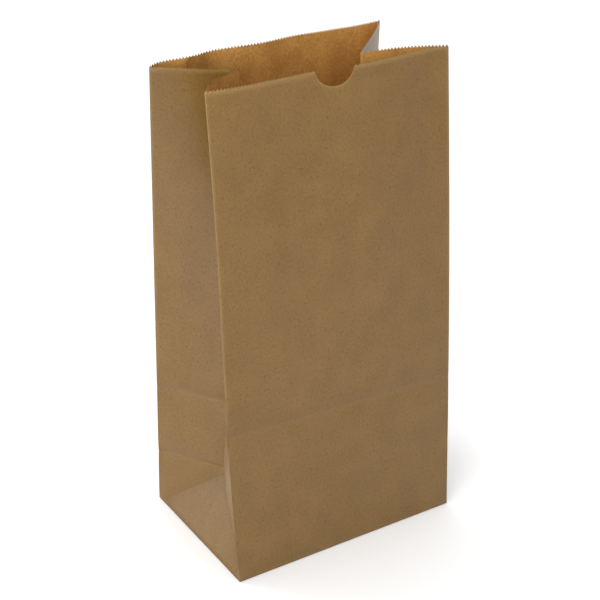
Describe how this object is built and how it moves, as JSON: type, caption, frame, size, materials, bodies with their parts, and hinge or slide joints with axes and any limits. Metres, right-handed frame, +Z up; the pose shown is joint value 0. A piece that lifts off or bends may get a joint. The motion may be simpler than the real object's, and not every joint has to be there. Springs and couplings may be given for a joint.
{
  "type": "paper bag",
  "caption": "Brown kraft paper lunch bag standing open, with gusseted sides, a flat base, a toothed rim and a thumb notch.",
  "frame": {"origin": "centre of the bag's bounding box in plan, on the surface that the base stands on", "axes": "+Z up towards the mouth, -Y towards the front panel with the thumb notch, +X to the right seen from the front"},
  "size_m": [0.135, 0.0848, 0.2472],
  "materials": {
    "kraft_paper": "matte"
  },
  "bodies": {
    "root": {"paper_bag": "kraft_paper"}
  },
  "joints": []
}
